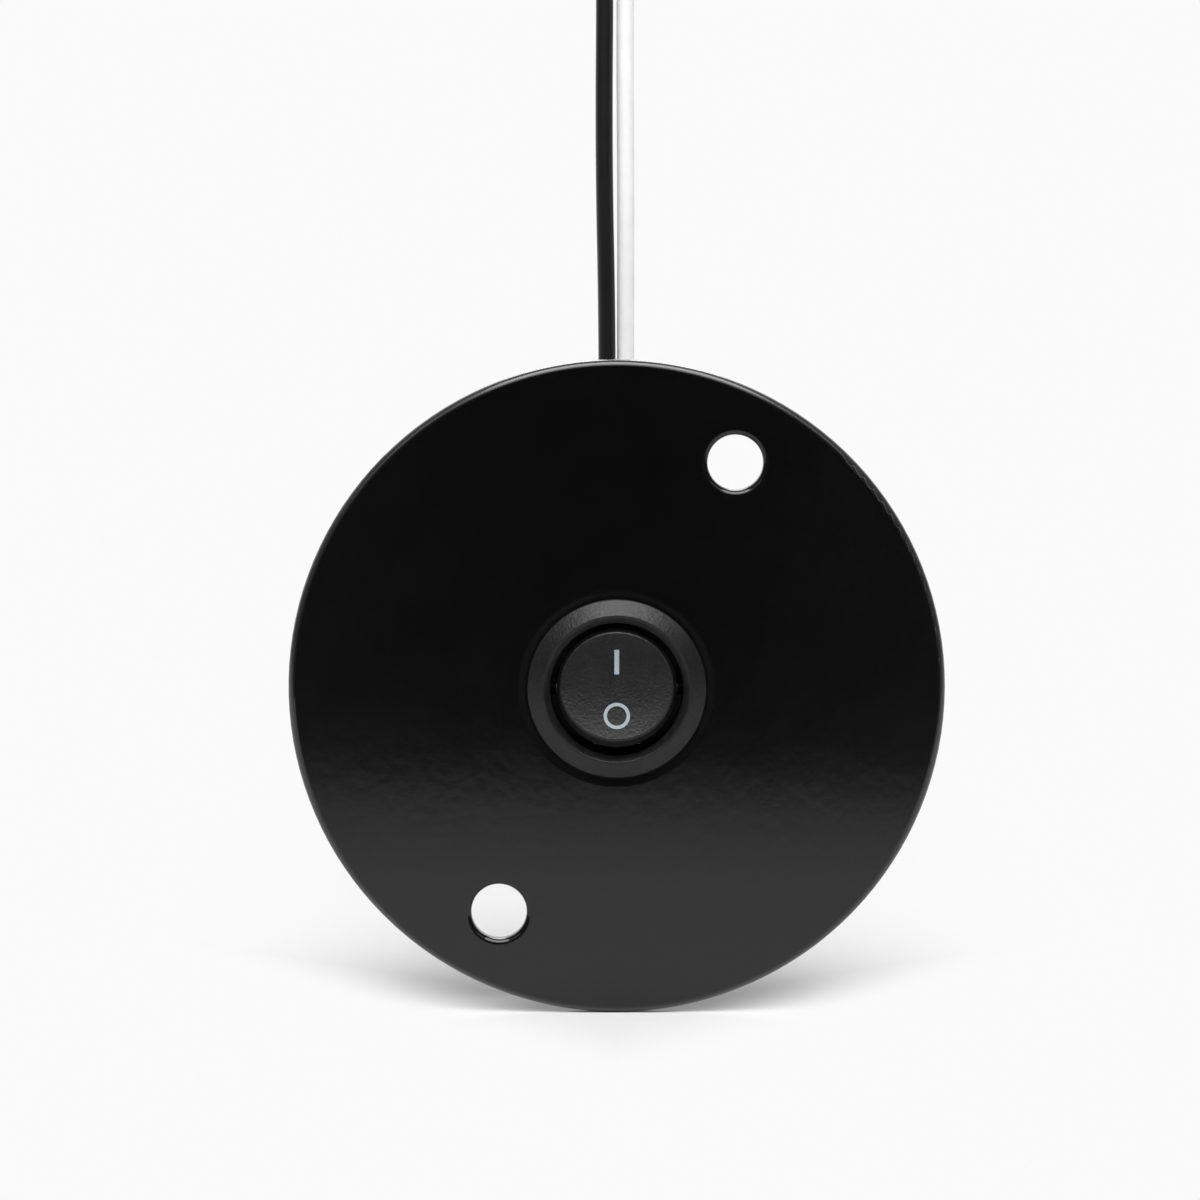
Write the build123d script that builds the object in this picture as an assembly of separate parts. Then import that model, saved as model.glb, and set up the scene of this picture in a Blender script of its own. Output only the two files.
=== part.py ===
from build123d import *

import math
import os

# Round rocker switch, snapped into a round metal cover plate, with two leads rising behind it.
#
# Every piece but the leads is drawn facing the reader: x to the right, y up, z towards the front,
# with z = 0 on the plate's rear face and the origin at the plate's centre. on_the_wall() then
# turns it upright: the part's front looks along -Y and its top is +Z. The leads' routes are
# already given in the upright frame. Millimetres throughout.
#
# The switch is drawn as it is in use, turned on: the top of the rocker is pressed in, and the
# plunger behind it holds the contact bar down on the fixed contact.

# Cover plate
PLATE_DIAMETER = 88.9
PLATE_THICKNESS = 1.9
PLATE_FRONT_ROUND = 0.95
PLATE_REAR_ROUND = 0.25
SCREW_SPACING = 69.0
SCREW_HOLE_DIAMETER = 7.5
SCREW_HOLE_ROUND = 0.75
SCREW_LEAN = 27.6
CUTOUT_CLEARANCE = 0.2
KEYWAY_CLEARANCE = 0.1

# Housing: bezel and round well
WELL_DIAMETER = 18.0
WELL_WALL = 0.9
LEDGE_THICKNESS = 1.4
BEZEL_WIDTH = 3.1
BEZEL_HEIGHT = 2.0
BEZEL_RIM = 0.55
BEZEL_RIM_ROUND = 0.2
CREST_ROUND = 0.3
INNER_BAND_WIDTH = 0.95
INNER_BAND_DEPTH = 0.85
KEY_WIDTH = 2.4
KEY_REACH = 0.6
KEY_HEIGHT = 3.4

# Housing: contact chamber behind the well
CHAMBER_WIDTH = 9.0
CHAMBER_HEIGHT = 13.8
CHAMBER_DEPTH = 12.0
CHAMBER_CORNER = 0.6
CHAMBER_SIDE_WALL = 1.5
CHAMBER_END_WALL = 1.0
CHAMBER_FLOOR = 1.6
CHAMBER_BLOCK_CORNER = 1.0

# Housing: snap arms
ARM_WIDTH = 6.0
ARM_LENGTH = 9.4
ARM_SIDE_GAP = 0.4
ARM_TOP_GAP = 0.35
ARM_BACK_GAP = 0.15
ARM_ROOT = 3.6
ARM_ROOT_WIDTH = 7.6
CATCH_GAP = 0.15
TOOTH_COUNT = 3
TOOTH_PITCH = 0.55
TOOTH_UNDERCUT = 0.15
TOOTH_STEP = 0.15
FIRST_TOOTH_OVERHANG = 0.25
WEDGE_LENGTH = 3.0

# Rocker
ROCKER_GAP = 0.9
ROCKER_TAPER = 0.8
ROCKER_TILT = 9.0
PIVOT_BELOW_PLATE_FRONT = 0.9
BARREL_TOP = 2.0
BORDER_TOP = 3.8
FACE_DIP = 0.8
SKIRT_DROP = 2.0
ROCKER_WALL = 1.2
ROCKER_EDGE_ROUND = 0.25
SKIRT_CLEARANCE = 0.25
TRUNNION_DIAMETER = 1.8
TRUNNION_CLEARANCE = 0.05
TRUNNION_END_PLAY = 0.2
BEARING_DEPTH = 0.8
RIB_THICKNESS = 1.2
RIB_DROP = 1.4
STEM_DIAMETER = 4.8
STEM_DROP = 4.6
STEM_BORE_TOP = 1.5
STEM_EDGE_ROUND = 0.3

# Plunger and its spring
PLUNGER_DIAMETER = 2.9
PLUNGER_SIDE_CLEARANCE = 0.05
PLUNGER_GUIDE = 2.0
PLUNGER_TIP_CLEARANCE = 0.06
SPIGOT_DIAMETER = 1.5
SPIGOT_LENGTH = 1.5
SPRING_WIRE = 0.35
SPRING_DIAMETER = 2.7
SPRING_TURNS = 4.5
SPRING_SEAT_GAP = 0.03

# See-saw contact bar and the contacts
BAR_THICKNESS = 0.5
BAR_WIDTH = 5.4
BAR_NECK = 3.4
BAR_NOTCH = 1.5
BAR_LOWER_WING = 5.2
BAR_UPPER_WING = 4.6
BAR_TIP_ROUND = 0.6
BAR_SEAT_DEPTH = 7.05
BAR_SEAT_GAP = 0.05
CONTACT_DIAMETER = 2.4
CONTACT_THICKNESS = 0.5
CONTACT_EDGE_ROUND = 0.12
CONTACT_REACH = 4.0
CONTACT_GAP = 0.05
POST_WIDTH = 4.0
POST_THICKNESS = 1.4
POST_REACH = 3.8
POST_GAP = 0.1

# Blade terminals
BLADE_WIDTH = 4.8
BLADE_THICKNESS = 0.8
BLADE_REACH = 7.0
BLADE_TIP_CHAMFER = 0.9
BLADE_TIP_BEVEL = 0.2
BLADE_HOLE_DIAMETER = 1.4
BLADE_HOLE_FROM_TIP = 3.0
BLADE_SLOT_CLEARANCE = 0.05
CRADLE_WIDTH = 6.2
CRADLE_HEAD_HEIGHT = 2.6
EAR_GAP = 3.6
EAR_HEIGHT = 0.9
EAR_ROUND = 0.3
LOAD_BLADE_WALL_GAP = 0.3
SPARE_SLOT_DEPTH = 0.8
FOOT_OVERRUN = 1.4
FOOT_BEND_RADIUS = 0.4

# Push-on receptacles, crimped on the leads
RECEPTACLE_SHEET = 0.35
RECEPTACLE_FIT = 0.06
RECEPTACLE_START_GAP = 0.6
RECEPTACLE_CHANNEL = 6.3
RECEPTACLE_SPLIT = 1.2
STRIP_WIDTH = 1.8
CRIMP_DIAMETER = 2.9
CRIMP_START = 8.9
CRIMP_LENGTH = 3.6
GRIP_START = 13.4
GRIP_LENGTH = 2.6
GRIP_CLEARANCE = 0.05

# Insulating sleeves over the receptacles
SLEEVE_GAP = 0.3
SLEEVE_WIDTH = 7.0
SLEEVE_THICKNESS = 4.6
SLEEVE_CORNER = 1.9
SLEEVE_WALL = 0.5
SLEEVE_OVAL_LENGTH = 7.2
SLEEVE_TAPER_LENGTH = 4.6
SLEEVE_LENGTH = 16.6
SLEEVE_END_FIT = 0.08

# Leads: insulated wire, bared and tinned at the far end
LEAD_DIAMETER = 2.5
STRAND_DIAMETER = 1.25
STRAND_LENGTH = 10.0
ARC_SHARE = 0.45
BLACK_ROUTE = [
    (0, 27.0, 0),
    (0, 34.5, 0),
    (-0.6, 41.0, 3.7),
    (-1.3, 44.9, 10.0),
    (-1.3, 46.2, 24.0),
    (-1.2, 47.4, 46.0),
    (-1.75, 47.2, 72.0),
    (-1.5, 47.9, 102.0),
    (-1.95, 47.3, 130.0),
]
WHITE_ROUTE = [
    (0, 27.0, -6.2),
    (0, 34.5, -6.2),
    (0.55, 41.4, -2.6),
    (1.25, 46.0, 3.6),
    (1.45, 47.6, 16.0),
    (1.4, 47.9, 38.0),
    (1.5, 47.5, 64.0),
    (1.25, 48.0, 94.0),
    (1.7, 47.6, 123.0),
]

# Places worked out from the sizes above
PIVOT_Z = PLATE_THICKNESS - PIVOT_BELOW_PLATE_FRONT
TILT = math.radians(ROCKER_TILT)
ROCKER_DIAMETER = WELL_DIAMETER - 2 * ROCKER_GAP
SKIRT_SWING = SKIRT_DROP * math.cos(TILT) + ROCKER_DIAMETER / 2 * math.sin(TILT)
WELL_FLOOR_Z = PIVOT_Z - SKIRT_SWING - SKIRT_CLEARANCE
WELL_OUTER_RADIUS = WELL_DIAMETER / 2 + WELL_WALL
CUTOUT_RADIUS = WELL_OUTER_RADIUS + CUTOUT_CLEARANCE
LEDGE_BACK_Z = WELL_FLOOR_Z - LEDGE_THICKNESS
HOUSING_BACK_Z = -CHAMBER_DEPTH - CHAMBER_FLOOR
BLADE_TIP_Z = HOUSING_BACK_Z - BLADE_REACH
LOAD_BLADE_DROP = CHAMBER_HEIGHT / 2 - LOAD_BLADE_WALL_GAP - BLADE_THICKNESS / 2
BORE_DIAMETER = PLUNGER_DIAMETER + 2 * PLUNGER_SIDE_CLEARANCE
PLUNGER_SHOULDER = PLUNGER_GUIDE - STEM_DROP
BAR_AXIS_Z = -BAR_SEAT_DEPTH
CONTACT_FACE_Z = BAR_AXIS_Z - CONTACT_THICKNESS - CONTACT_GAP
FOOT_TOP_Z = CONTACT_FACE_Z - CONTACT_THICKNESS
RECEPTACLE_START_Z = HOUSING_BACK_Z - RECEPTACLE_START_GAP
SLEEVE_START_Z = HOUSING_BACK_Z - SLEEVE_GAP
GRIP_INNER_DIAMETER = LEAD_DIAMETER + 2 * GRIP_CLEARANCE
GRIP_OUTER_DIAMETER = GRIP_INNER_DIAMETER + 2 * RECEPTACLE_SHEET


def on_the_wall(piece):
    """Turn a piece drawn facing the reader upright, its front along -Y and its top along +Z."""
    return Plane.XZ.location * piece


def at_rocker(piece):
    """Place a piece drawn about the pivot in the switch, turned on: its top pressed in."""
    return Pos(0, 0, PIVOT_Z) * Rot(-ROCKER_TILT, 0, 0) * piece


def block(width, height, z_low, z_high, y_centre=0):
    """A box centred on x, between two depths."""
    return Pos(0, y_centre, z_low) * Box(
        width, height, z_high - z_low, align=(Align.CENTER, Align.CENTER, Align.MIN)
    )


def rounded_block(width, height, corner, z_low, z_high):
    """A box with rounded upright corners, between two depths."""
    return Pos(0, 0, z_low) * extrude(RectangleRounded(width, height, corner), z_high - z_low)


def turned(*points):
    """A solid of revolution about z from corner points (radius, z)."""
    return revolve(Plane.XZ * make_face(Polyline(*points, close=True)), Axis.Z)


def circles_at(solid, radius, z):
    """The circular edges of one radius at one depth."""
    def wanted(edge):
        return math.isclose(edge.radius, radius, abs_tol=1e-4) and math.isclose(
            edge.arc_center.Z, z, abs_tol=1e-4
        )
    return [edge for edge in solid.edges().filter_by(GeomType.CIRCLE) if wanted(edge)]


def cover_plate():
    """The flat disc: rounded front edge, two screw holes on a leaning line, keyed cut-out."""
    radius = PLATE_DIAMETER / 2
    plate = extrude(Circle(radius), PLATE_THICKNESS)
    plate = fillet(circles_at(plate, radius, PLATE_THICKNESS), PLATE_FRONT_ROUND)
    plate = fillet(circles_at(plate, radius, 0), PLATE_REAR_ROUND)
    hole = Cylinder(SCREW_HOLE_DIAMETER / 2, 3 * PLATE_THICKNESS)
    places = PolarLocations(SCREW_SPACING / 2, 2, start_angle=90 - SCREW_LEAN)
    plate -= [place * hole for place in places]
    plate = fillet(circles_at(plate, SCREW_HOLE_DIAMETER / 2, PLATE_THICKNESS), SCREW_HOLE_ROUND)
    plate -= Cylinder(CUTOUT_RADIUS, 3 * PLATE_THICKNESS)
    keyway_width = KEY_WIDTH + 2 * KEYWAY_CLEARANCE
    keyway_span = 2 * (WELL_OUTER_RADIUS + KEY_REACH + KEYWAY_CLEARANCE)
    return plate - block(keyway_span, keyway_width, -PLATE_THICKNESS, 2 * PLATE_THICKNESS)


def bezel_and_well():
    """The turned part of the housing: sloped bezel, inner band, round well and its ledge."""
    crest_z = PLATE_THICKNESS + BEZEL_HEIGHT
    crest = WELL_DIAMETER / 2 + INNER_BAND_WIDTH
    rim = WELL_DIAMETER / 2 + BEZEL_WIDTH
    rim_z = PLATE_THICKNESS + BEZEL_RIM
    body = turned(
        (0, LEDGE_BACK_Z),
        (WELL_OUTER_RADIUS, LEDGE_BACK_Z),
        (WELL_OUTER_RADIUS, PLATE_THICKNESS),
        (rim, PLATE_THICKNESS),
        (rim, rim_z),
        (crest, crest_z),
        (WELL_DIAMETER / 2, crest_z - INNER_BAND_DEPTH),
        (WELL_DIAMETER / 2, WELL_FLOOR_Z),
        (0, WELL_FLOOR_Z),
    )
    body = fillet(circles_at(body, crest, crest_z), CREST_ROUND)
    return fillet(circles_at(body, rim, rim_z), BEZEL_RIM_ROUND)


def snap_arm():
    """One upper spring arm: a tongue of the round wall with a toothed wedge, on its root."""
    top_z = -CATCH_GAP
    inner = WELL_DIAMETER / 2
    teeth = []
    for tooth in range(TOOTH_COUNT):
        reach = CUTOUT_RADIUS + FIRST_TOOTH_OVERHANG + tooth * TOOTH_STEP
        z = top_z - tooth * TOOTH_PITCH
        teeth.append((reach, z))
        if tooth < TOOTH_COUNT - 1:
            teeth.append((reach - TOOTH_UNDERCUT, z - TOOTH_PITCH))
    wedge_foot_z = top_z - TOOTH_PITCH * (TOOTH_COUNT - 1) - WEDGE_LENGTH
    ring = turned(
        (inner, top_z),
        *teeth,
        (WELL_OUTER_RADIUS, wedge_foot_z),
        (WELL_OUTER_RADIUS, -ARM_LENGTH),
        (inner, -ARM_LENGTH),
    )
    tongue = ring & block(ARM_WIDTH, WELL_OUTER_RADIUS, -ARM_LENGTH, 0, WELL_OUTER_RADIUS)
    chamber_end = CHAMBER_HEIGHT / 2 + CHAMBER_END_WALL
    root = block(
        ARM_ROOT_WIDTH, WELL_OUTER_RADIUS - chamber_end, -ARM_LENGTH, ARM_ROOT - ARM_LENGTH,
        (WELL_OUTER_RADIUS + chamber_end) / 2,
    )
    return tongue + (root & Cylinder(WELL_OUTER_RADIUS, 3 * ARM_LENGTH))


def arm_slot():
    """The room that one upper arm springs in, cut through the well's wall and ledge."""
    back = CHAMBER_HEIGHT / 2 + CHAMBER_END_WALL + ARM_BACK_GAP
    front = CUTOUT_RADIUS
    width = ARM_WIDTH + 2 * ARM_SIDE_GAP
    return block(width, front - back, LEDGE_BACK_Z, ARM_TOP_GAP - CATCH_GAP, (front + back) / 2)


def side_key():
    """The right-hand key that keeps the switch from turning and backs a trunnion's bearing."""
    inner = WELL_OUTER_RADIUS - WELL_WALL / 3
    reach = WELL_OUTER_RADIUS + KEY_REACH
    key = block(reach - inner, KEY_WIDTH, PLATE_THICKNESS - KEY_HEIGHT, PLATE_THICKNESS)
    return Pos((reach + inner) / 2, 0, 0) * key


def trunnion_bearing():
    """The right-hand blind bearing hole for a trunnion of the rocker."""
    radius = TRUNNION_DIAMETER / 2 + TRUNNION_CLEARANCE
    return Pos(0, 0, PIVOT_Z) * Rot(0, 90, 0) * Cylinder(
        radius, WELL_DIAMETER / 2 + BEARING_DEPTH, align=(Align.CENTER, Align.CENTER, Align.MIN)
    )


def blade_slot(y_centre, depth):
    """A terminal's slot in the back of the chamber's floor."""
    width = BLADE_WIDTH + 2 * BLADE_SLOT_CLEARANCE
    thickness = BLADE_THICKNESS + 2 * BLADE_SLOT_CLEARANCE
    return block(width, thickness, HOUSING_BACK_Z, HOUSING_BACK_Z + depth, y_centre)


def switch_housing():
    """One moulding: bezel, well, chamber, rest post, keys, snap arms, a blanked third slot."""
    housing = bezel_and_well()
    housing += rounded_block(
        CHAMBER_WIDTH + 2 * CHAMBER_SIDE_WALL, CHAMBER_HEIGHT + 2 * CHAMBER_END_WALL,
        CHAMBER_BLOCK_CORNER, HOUSING_BACK_Z, WELL_FLOOR_Z,
    )
    housing -= rounded_block(
        CHAMBER_WIDTH, CHAMBER_HEIGHT, CHAMBER_CORNER, -CHAMBER_DEPTH, PIVOT_Z
    )
    for turn in (0, 180):
        housing -= Rot(0, 0, turn) * arm_slot()
        housing += Rot(0, 0, turn) * snap_arm()
        housing += Rot(0, 0, turn) * side_key()
        housing -= Rot(0, 0, turn) * trunnion_bearing()
    housing += block(
        POST_WIDTH, POST_THICKNESS, -CHAMBER_DEPTH, BAR_AXIS_Z - POST_GAP, POST_REACH
    )
    for y_centre in (0, -LOAD_BLADE_DROP):
        housing -= blade_slot(y_centre, CHAMBER_FLOOR)
    return housing - blade_slot(LOAD_BLADE_DROP, SPARE_SLOT_DEPTH)


def rocker():
    """The button: tapered barrel, face hollowed top to bottom, skirt, stem, ribs, trunnions."""
    outer = ROCKER_DIAMETER / 2
    border = outer - ROCKER_TAPER
    shell = turned(
        (0, -SKIRT_DROP), (outer, -SKIRT_DROP), (outer, BARREL_TOP), (border, BORDER_TOP),
        (0, BORDER_TOP),
    )
    dish_radius = (border ** 2 + FACE_DIP ** 2) / (2 * FACE_DIP)
    dish_axis = BORDER_TOP - FACE_DIP + dish_radius
    shell -= Pos(0, 0, dish_axis) * Rot(0, 90, 0) * Cylinder(dish_radius, 2 * outer)
    rim = [edge for edge in shell.edges() if edge.center().Z > BARREL_TOP + ROCKER_EDGE_ROUND]
    shell = fillet(rim, ROCKER_EDGE_ROUND)
    roof = BORDER_TOP - FACE_DIP - ROCKER_WALL
    inner = outer - ROCKER_WALL
    shell -= turned(
        (0, -SKIRT_DROP), (inner, -SKIRT_DROP), (inner, roof - ROCKER_WALL),
        (inner - ROCKER_WALL, roof), (0, roof),
    )
    stem = Pos(0, 0, -STEM_DROP) * extrude(Circle(STEM_DIAMETER / 2), STEM_DROP + roof)
    stem = fillet(circles_at(stem, STEM_DIAMETER / 2, -STEM_DROP), STEM_EDGE_ROUND)
    ribs = block(2 * inner, RIB_THICKNESS, -RIB_DROP, roof)
    button = shell + stem + ribs
    trunnion_reach = WELL_DIAMETER / 2 + BEARING_DEPTH - TRUNNION_END_PLAY
    pins = Rot(0, 90, 0) * Cylinder(TRUNNION_DIAMETER / 2, 2 * trunnion_reach)
    pins -= block(2 * inner, 2 * STEM_DIAMETER, -STEM_DROP, STEM_DROP)
    button += pins
    bore = Pos(0, 0, -STEM_DROP) * extrude(Circle(BORE_DIAMETER / 2), STEM_DROP + STEM_BORE_TOP)
    return at_rocker(button - bore)


def plunger_centre():
    """The tip ball's distance from the pivot, so that it clears the bar's hollow midway."""
    tip_radius = PLUNGER_DIAMETER / 2
    hollow_z = BAR_AXIS_Z + BAR_THICKNESS / math.cos(TILT)
    return PIVOT_Z - hollow_z - (tip_radius + PLUNGER_TIP_CLEARANCE) / math.cos(TILT)


def plunger():
    """The sprung pin in the rocker's stem: ball tip, guide and a spigot inside the spring."""
    radius = PLUNGER_DIAMETER / 2
    tip = Pos(0, 0, -plunger_centre())
    pin = tip * Sphere(radius)
    pin += tip * extrude(Circle(radius), PLUNGER_SHOULDER + plunger_centre())
    pin += Pos(0, 0, PLUNGER_SHOULDER) * extrude(Circle(SPIGOT_DIAMETER / 2), SPIGOT_LENGTH)
    return at_rocker(pin)


def plunger_spring():
    """The helical spring between the plunger's shoulder and the end of the stem's bore."""
    coil_radius = (SPRING_DIAMETER - SPRING_WIRE) / 2
    start = PLUNGER_SHOULDER + SPRING_SEAT_GAP + SPRING_WIRE / 2
    height = STEM_BORE_TOP - SPRING_SEAT_GAP - SPRING_WIRE / 2 - start
    path = Helix(pitch=height / SPRING_TURNS, height=height, radius=coil_radius)
    wire = sweep(
        Plane(origin=path @ 0, z_dir=path % 0) * Circle(SPRING_WIRE / 2), path, is_frenet=True
    )
    return at_rocker(Pos(0, 0, start) * wire)


def bar_wing(length):
    """One level wing of the bar, reaching along +y from the rocking axis under it."""
    wing = block(BAR_WIDTH, 2 * length, 0, BAR_THICKNESS)
    tips = wing.edges().filter_by(Axis.Z).group_by(Axis.Y)[-1]
    wing = fillet(tips, BAR_TIP_ROUND)
    return wing & block(BAR_WIDTH, length, 0, BAR_THICKNESS, length / 2)


def bar_halves():
    """The lower wing as it lies closed, and the upper wing bent up from it by twice the tilt."""
    lower = Rot(0, 0, 180) * bar_wing(BAR_LOWER_WING)
    upper = Rot(2 * ROCKER_TILT, 0, 0) * bar_wing(BAR_UPPER_WING)
    return lower, upper


def contact_bar():
    """The see-saw bar: two wings folded to a shallow V, notched at the sides for the ears."""
    lower, upper = bar_halves()
    bar = lower + upper
    notch_width = (BAR_WIDTH - BAR_NECK) / 2
    for side in (-1, 1):
        place = Pos(side * (BAR_NECK + notch_width) / 2, 0, 0)
        bar -= place * Rot(ROCKER_TILT, 0, 0) * block(
            notch_width, BAR_NOTCH, -BAR_THICKNESS, 2 * BAR_THICKNESS
        )
    return Pos(0, 0, BAR_AXIS_Z) * bar


def contact_button(z_low, rounded_z):
    """A contact's round head, its working edge rounded."""
    head = Pos(0, -CONTACT_REACH, z_low) * extrude(Circle(CONTACT_DIAMETER / 2), CONTACT_THICKNESS)
    return fillet(circles_at(head, CONTACT_DIAMETER / 2, rounded_z), CONTACT_EDGE_ROUND)


def moving_contact():
    """The silver button under the bar's lower wing."""
    low = BAR_AXIS_Z - CONTACT_THICKNESS
    return contact_button(low, low)


def fixed_contact():
    """The silver button on the load terminal's foot."""
    return contact_button(FOOT_TOP_Z, CONTACT_FACE_Z)


def blade(y_centre, z_top):
    """A push-on blade from the chamber out through its floor, with a bevelled, holed tip."""
    tab = block(BLADE_WIDTH, BLADE_THICKNESS, BLADE_TIP_Z, z_top, y_centre)
    corners = tab.edges().filter_by(Axis.Y).group_by(Axis.Z)[0]
    tab = chamfer(corners, BLADE_TIP_CHAMFER)
    tab = chamfer(tab.edges().filter_by(Axis.X).group_by(Axis.Z)[0], BLADE_TIP_BEVEL)
    hole = Rot(90, 0, 0) * Cylinder(BLADE_HOLE_DIAMETER / 2, 3 * BLADE_THICKNESS)
    return tab - Pos(0, y_centre, BLADE_TIP_Z + BLADE_HOLE_FROM_TIP) * hole


def common_terminal():
    """The middle blade, its head a cradle that carries the bar between two ears."""
    seat_z = BAR_AXIS_Z - BAR_SEAT_GAP
    terminal = blade(0, seat_z)
    head = block(
        CRADLE_WIDTH, BLADE_THICKNESS, seat_z - CRADLE_HEAD_HEIGHT, seat_z + EAR_HEIGHT
    )
    head -= block(EAR_GAP, 2 * BLADE_THICKNESS, seat_z, seat_z + 2 * EAR_HEIGHT)
    tops = head.edges().filter_by(Axis.Y).group_by(Axis.Z)[-1]
    return terminal + fillet(tops, EAR_ROUND)


def load_terminal():
    """The lower blade, bent over inside to a foot that carries the fixed contact."""
    outer_y = -LOAD_BLADE_DROP - BLADE_THICKNESS / 2
    foot_end_y = FOOT_OVERRUN - CONTACT_REACH
    terminal = blade(-LOAD_BLADE_DROP, FOOT_TOP_Z)
    terminal += block(
        BLADE_WIDTH, foot_end_y - outer_y, FOOT_TOP_Z - BLADE_THICKNESS, FOOT_TOP_Z,
        (foot_end_y + outer_y) / 2,
    )
    inner = terminal.edges().filter_by(Axis.X).filter_by_position(
        Axis.Z, FOOT_TOP_Z - BLADE_THICKNESS, FOOT_TOP_Z - BLADE_THICKNESS
    ).sort_by(Axis.Y)[0]
    terminal = fillet(inner, FOOT_BEND_RADIUS)
    outer = terminal.edges().filter_by(Axis.X).filter_by_position(
        Axis.Z, FOOT_TOP_Z, FOOT_TOP_Z
    ).sort_by(Axis.Y)[0]
    return fillet(outer, FOOT_BEND_RADIUS + BLADE_THICKNESS / 2)


def receptacle(y_centre):
    """A push-on receptacle: rolled channel round the blade, crimp and insulation grip."""
    inner_width = BLADE_WIDTH + 2 * RECEPTACLE_FIT
    inner_height = BLADE_THICKNESS + 2 * RECEPTACLE_FIT
    width = inner_width + 2 * RECEPTACLE_SHEET
    height = inner_height + 2 * RECEPTACLE_SHEET
    start = RECEPTACLE_START_Z
    end = start - RECEPTACLE_CHANNEL
    channel = rounded_block(width, height, RECEPTACLE_SHEET, end, start)
    channel -= block(inner_width, inner_height, end, start)
    channel -= block(RECEPTACLE_SPLIT, height, end, start, height / 2)
    crimp_z = start - CRIMP_START
    grip_z = start - GRIP_START
    grip_end = grip_z - GRIP_LENGTH
    low = -GRIP_OUTER_DIAMETER / 2
    floor = -height / 2
    sheet = RECEPTACLE_SHEET
    strip = Plane.YZ * make_face(Polyline(
        (floor, end + sheet), (floor + sheet, end + sheet), (floor + sheet, end),
        (low + sheet, crimp_z), (low + sheet, grip_end), (low, grip_end), (low, crimp_z),
        (floor, end), close=True,
    ))
    neck = extrude(strip, STRIP_WIDTH / 2, both=True)
    neck &= Pos(0, 0, grip_end) * extrude(Circle(GRIP_OUTER_DIAMETER / 2), start - grip_end)
    terminal = channel + neck
    terminal += Pos(0, 0, crimp_z - CRIMP_LENGTH) * extrude(
        Circle(CRIMP_DIAMETER / 2), CRIMP_LENGTH
    )
    grip = extrude(Circle(GRIP_OUTER_DIAMETER / 2) - Circle(GRIP_INNER_DIAMETER / 2), GRIP_LENGTH)
    terminal += Pos(0, 0, grip_end) * grip
    return Pos(0, y_centre, 0) * terminal


def sleeve_body(inset, end_diameter):
    """The sleeve's outer or inner form: oval, then tapering to round."""
    width = SLEEVE_WIDTH - 2 * inset
    thickness = SLEEVE_THICKNESS - 2 * inset
    oval = RectangleRounded(width, thickness, SLEEVE_CORNER - inset)
    taper_z = SLEEVE_START_Z - SLEEVE_OVAL_LENGTH
    round_z = taper_z - SLEEVE_TAPER_LENGTH
    end_z = SLEEVE_START_Z - SLEEVE_LENGTH
    body = Pos(0, 0, taper_z) * extrude(oval, SLEEVE_OVAL_LENGTH)
    body += loft([Pos(0, 0, round_z) * Circle(end_diameter / 2), Pos(0, 0, taper_z) * oval])
    return body + Pos(0, 0, end_z) * extrude(Circle(end_diameter / 2), round_z - end_z)


def sleeve(y_centre):
    """A soft insulating sleeve pushed over a receptacle up to the switch's back."""
    bore = GRIP_OUTER_DIAMETER + 2 * SLEEVE_END_FIT
    shell = sleeve_body(0, bore + 2 * SLEEVE_WALL) - sleeve_body(SLEEVE_WALL, bore)
    return Pos(0, y_centre, 0) * shell


def route_radii(route):
    """The bend radius at each inner point of a route: as large as the two runs allow."""
    points = [Vector(*point) for point in route]
    radii = []
    for before, here, after in zip(points, points[1:], points[2:]):
        run = min((here - before).length, (after - here).length)
        turn = math.radians((here - before).get_angle(after - here))
        radii.append(ARC_SHARE * run / math.tan(turn / 2))
    return radii


def lead(name, route):
    """A lead's insulation: a plain tube along straight runs joined by tangent arcs."""
    radii = route_radii(route)
    print(name, "bend radii", [round(radius, 1) for radius in radii])
    path = FilletPolyline(*route, radius=radii)
    tube = sweep(Plane(origin=path @ 0, z_dir=path % 0) * Circle(LEAD_DIAMETER / 2), path)
    section = math.pi * LEAD_DIAMETER ** 2 / 4
    print(name, "length", round(path.length, 1), "volume share", tube.volume / section / path.length)
    return tube


def lead_end(route):
    """The bared strands past the end of a lead's insulation."""
    end = Vector(*route[-1])
    direction = end - Vector(*route[-2])
    return extrude(Plane(origin=end, z_dir=direction) * Circle(STRAND_DIAMETER / 2), STRAND_LENGTH)


def all_pieces():
    """Every sub-part by name, in the upright frame."""
    facing = {
        "cover_plate": cover_plate(),
        "switch_housing": switch_housing(),
        "rocker": rocker(),
        "plunger": plunger(),
        "plunger_spring": plunger_spring(),
        "contact_bar": contact_bar(),
        "moving_contact": moving_contact(),
        "common_terminal": common_terminal(),
        "load_terminal": load_terminal(),
        "fixed_contact": fixed_contact(),
        "common_receptacle": receptacle(0),
        "load_receptacle": receptacle(-LOAD_BLADE_DROP),
        "common_sleeve": sleeve(0),
        "load_sleeve": sleeve(-LOAD_BLADE_DROP),
    }
    pieces = {name: on_the_wall(piece) for name, piece in facing.items()}
    pieces["black_lead"] = lead("black_lead", BLACK_ROUTE)
    pieces["black_lead_end"] = lead_end(BLACK_ROUTE)
    pieces["white_lead"] = lead("white_lead", WHITE_ROUTE)
    pieces["white_lead_end"] = lead_end(WHITE_ROUTE)
    return pieces


os.makedirs("parts", exist_ok=True)
for piece_name, piece_shape in all_pieces().items():
    export_step(piece_shape, "parts/" + piece_name + ".step")
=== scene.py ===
"""Looks of a round rocker switch in its round cover plate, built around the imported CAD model."""

import logging
import math
from dataclasses import dataclass
from enum import Enum, IntEnum
from typing import Optional, Sequence, Union

import bmesh
import bpy
from mathutils import Matrix, Vector


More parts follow.
